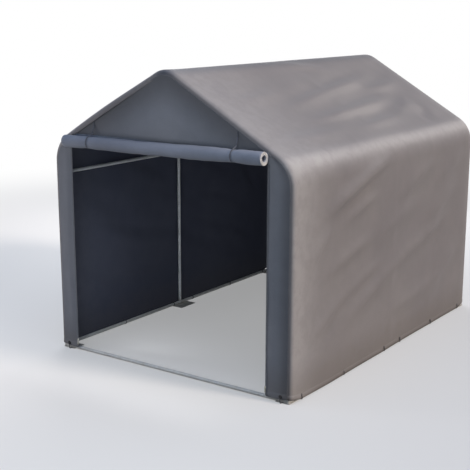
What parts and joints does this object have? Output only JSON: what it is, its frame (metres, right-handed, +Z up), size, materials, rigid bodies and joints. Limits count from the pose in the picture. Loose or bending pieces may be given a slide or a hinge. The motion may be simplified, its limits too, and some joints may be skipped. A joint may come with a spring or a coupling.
{
  "type": "bike shelter",
  "caption": "Gable-roofed cloth bike shelter on a plug-together steel tube frame, open at the front with its door rolled up under the gable.",
  "frame": {"origin": "on the ground at the middle of the four corner anchor holes, which is the middle of the footprint", "axes": "+Z up, +X to the right seen from the front, the open front faces -Y"},
  "size_m": [1.8, 2.5887, 1.878],
  "materials": {
    "white_tube": "powder coat, satin",
    "foot_steel": "powder coat, satin",
    "cover_cloth": "coated woven cloth, soft sheen",
    "end_cloth": "coated woven cloth, soft sheen",
    "door_cloth": "coated woven cloth, soft sheen",
    "webbing": "woven strap, matt"
  },
  "bodies": {
    "root": {"door_roll": "door_cloth", "front_gable_panel": "end_cloth", "front_left_base_rail": "white_tube", "front_left_eave_purlin": "white_tube", "front_left_foot": "foot_steel", "front_left_leg": "white_tube", "front_left_rafter": "white_tube", "front_peak_elbow": "white_tube", "front_ridge_purlin": "white_tube", "front_right_base_rail": "white_tube", "front_right_eave_purlin": "white_tube", "front_right_foot": "foot_steel", "front_right_leg": "white_tube", "front_right_rafter": "white_tube", "front_threshold": "white_tube", "left_door_tie": "webbing", "left_front_jamb": "end_cloth", "left_roof_panel": "cover_cloth", "left_wall_panel": "cover_cloth", "mid_left_foot": "foot_steel", "mid_left_leg": "white_tube", "mid_left_rafter": "white_tube", "mid_peak_elbow": "white_tube", "mid_right_foot": "foot_steel", "mid_right_leg": "white_tube", "mid_right_rafter": "white_tube", "rear_base_rail": "white_tube", "rear_left_base_rail": "white_tube", "rear_left_eave_purlin": "white_tube", "rear_left_foot": "foot_steel", "rear_left_leg": "white_tube", "rear_left_rafter": "white_tube", "rear_peak_elbow": "white_tube", "rear_ridge_purlin": "white_tube", "rear_right_base_rail": "white_tube", "rear_right_eave_purlin": "white_tube", "rear_right_foot": "foot_steel", "rear_right_leg": "white_tube", "rear_right_rafter": "white_tube", "rear_wall_panel": "end_cloth", "right_door_tie": "webbing", "right_front_jamb": "end_cloth", "right_roof_panel": "cover_cloth", "right_wall_panel": "cover_cloth"}
  },
  "joints": []
}
